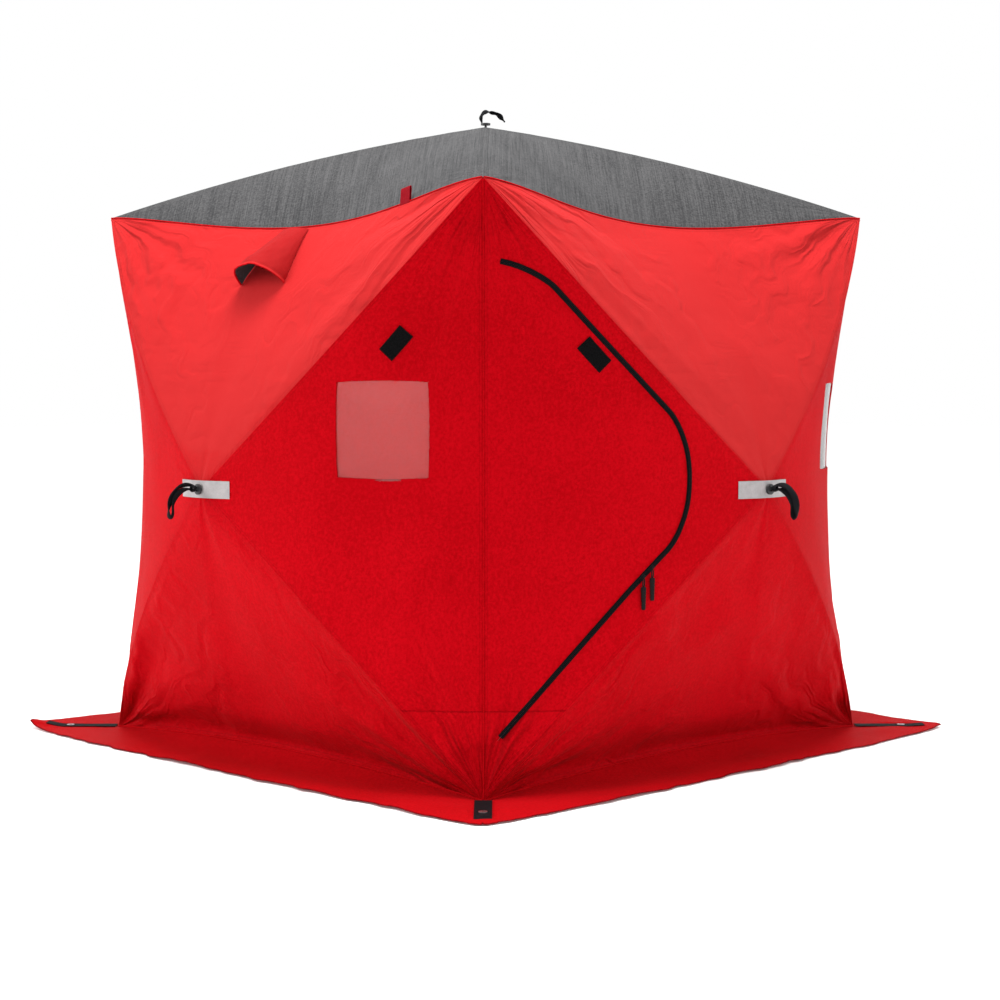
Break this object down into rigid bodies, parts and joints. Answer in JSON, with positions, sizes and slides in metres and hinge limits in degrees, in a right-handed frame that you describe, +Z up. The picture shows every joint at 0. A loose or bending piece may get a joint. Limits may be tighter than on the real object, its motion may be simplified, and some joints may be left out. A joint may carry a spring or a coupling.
{
  "type": "ice fishing hut",
  "caption": "Square pop-up ice fishing hut: four pushed-out fabric walls on hubs and poles, domed roof, snow skirt and a zipped corner door that folds back.",
  "frame": {"origin": "centre of the footprint, on the ground", "axes": "+Z up, -Y out of the wall with the door, -X out of the wall with the near window"},
  "size_m": [2.6024, 2.6024, 2.0946],
  "materials": {
    "red_fabric": "insulated polyester shell, fine plain weave, slightly glossy coating",
    "grey_fabric": "heathered grey insulated polyester",
    "black_webbing": "flat woven webbing",
    "red_webbing": "flat woven webbing",
    "pole": "solid glass-fibre rod, satin",
    "hub_plastic": "moulded nylon, fine texture",
    "reflective_tape": "silver reflective tape sewn on webbing",
    "clear_vinyl": "clear soft sheet with slight ripples",
    "grommet_metal": "nickel-plated",
    "hook_and_loop": "looped pile",
    "zip_tape": "woven tape with coil teeth",
    "zip_pull": "metal slider with webbing pull"
  },
  "bodies": {
    "shelter": {"front_wall": "red_fabric", "front_wall_doorway": "red_fabric", "left_wall": "red_fabric", "back_wall": "red_fabric", "right_wall": "red_fabric", "roof": "grey_fabric", "skirt_front": "red_fabric", "skirt_left": "red_fabric", "skirt_back": "red_fabric", "skirt_right": "red_fabric", "front_poles": "pole", "left_poles": "pole", "back_poles": "pole", "right_poles": "pole", "roof_poles": "pole", "front_hub": "hub_plastic", "left_hub": "hub_plastic", "back_hub": "hub_plastic", "right_hub": "hub_plastic", "roof_hub": "hub_plastic", "top_corner_sockets": "hub_plastic", "bottom_corner_sockets": "hub_plastic", "hub_reflective_strips": "reflective_tape", "front_pull_strap": "black_webbing", "left_pull_strap": "black_webbing", "back_pull_strap": "black_webbing", "right_pull_strap": "black_webbing", "roof_pull_strap": "black_webbing", "front_window": "clear_vinyl", "left_window": "clear_vinyl", "back_window": "clear_vinyl", "right_window": "clear_vinyl", "front_window_cover": "red_fabric", "left_window_cover": "red_fabric", "back_window_cover": "red_fabric", "right_window_cover": "red_fabric", "left_vent_hood": "red_fabric", "right_vent_hood": "red_fabric", "seam_tabs": "red_webbing", "anchor_straps": "black_webbing", "anchor_grommets": "grommet_metal", "wall_hook_patch": "hook_and_loop", "doorway_zip": "zip_tape"},
    "door": {"door_panel": "red_fabric", "door_zip": "zip_tape", "zip_sliders": "zip_pull", "door_hook_patch": "hook_and_loop"}
  },
  "joints": [
    {"name": "door_swing", "type": "hinge", "parent": "shelter", "child": "door", "pos_m": [-0.84, -0.894, 0.85], "axis": [0, 0, -1], "range_deg": [0, 200]}
  ]
}
